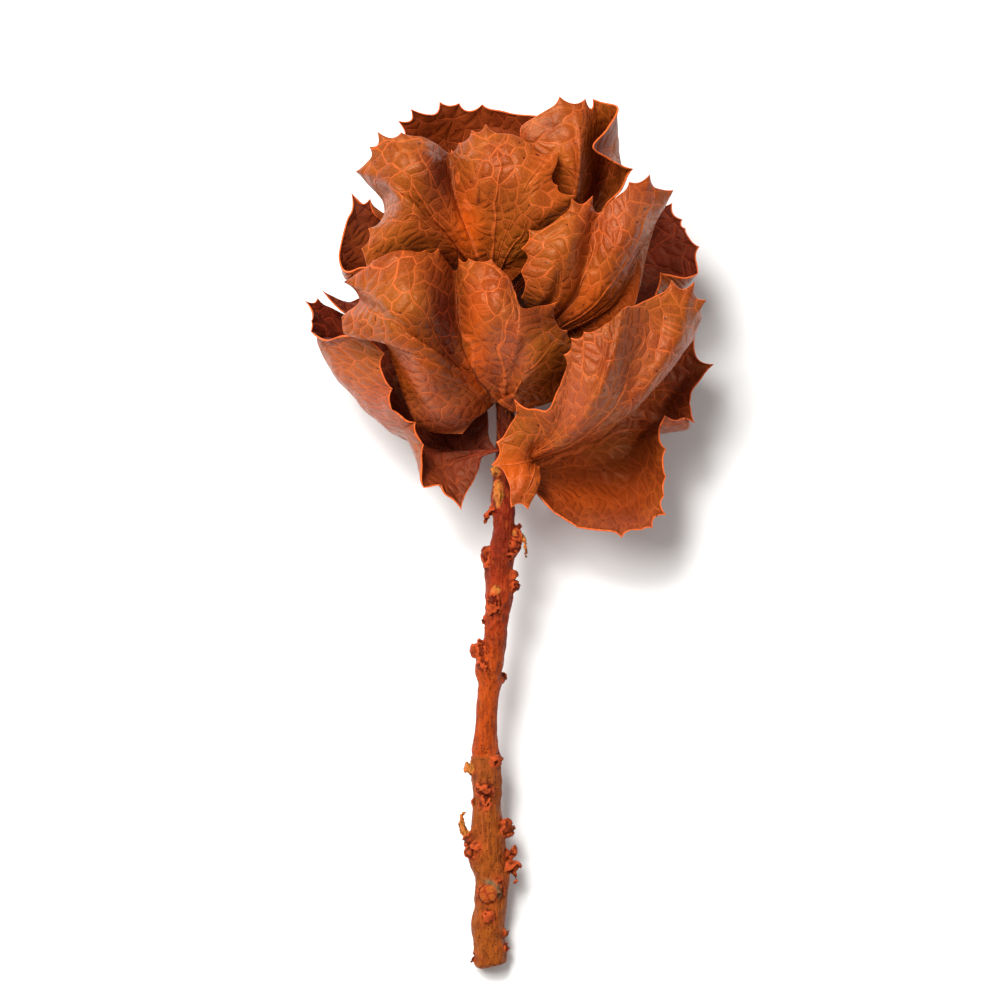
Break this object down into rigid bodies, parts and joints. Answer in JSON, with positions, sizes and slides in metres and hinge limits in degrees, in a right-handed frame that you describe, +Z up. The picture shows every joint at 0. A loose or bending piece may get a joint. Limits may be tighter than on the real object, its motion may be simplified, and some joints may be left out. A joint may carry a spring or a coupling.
{
  "type": "dried queen flower",
  "caption": "Dried cut branch tip: a head of large cupped, spiny, net-veined leaves clasping a knobby woody stem, lying down.",
  "frame": {"origin": "on the floor under the centre of the bounding box, the plant lying down", "axes": "+Y from the cut end of the stem towards the head, +Z up, away from the floor it lies on"},
  "size_m": [0.149, 0.3102, 0.0941],
  "materials": {
    "bark": "matt bark, red-brown above and ochre below, with pale scars",
    "leaf": "dried leathery leaf, satin, orange-brown with a raised lighter net of veins",
    "leaf_dark": "the same leaves where their dark inner side shows"
  },
  "bodies": {
    "root": {"stem": "bark", "leaf_front_centre": "leaf", "leaf_front_upper": "leaf", "leaf_left_low": "leaf", "leaf_left_edge": "leaf", "leaf_left_back": "leaf_dark", "leaf_top_back": "leaf_dark", "leaf_top_right": "leaf", "leaf_right_middle": "leaf", "leaf_right_back": "leaf_dark", "leaf_front_right": "leaf", "leaf_right_low": "leaf", "leaf_back_right": "leaf", "leaf_back_left": "leaf", "leaf_back_centre": "leaf", "leaf_back_upper": "leaf", "leaf_tip": "leaf_dark"}
  },
  "joints": []
}
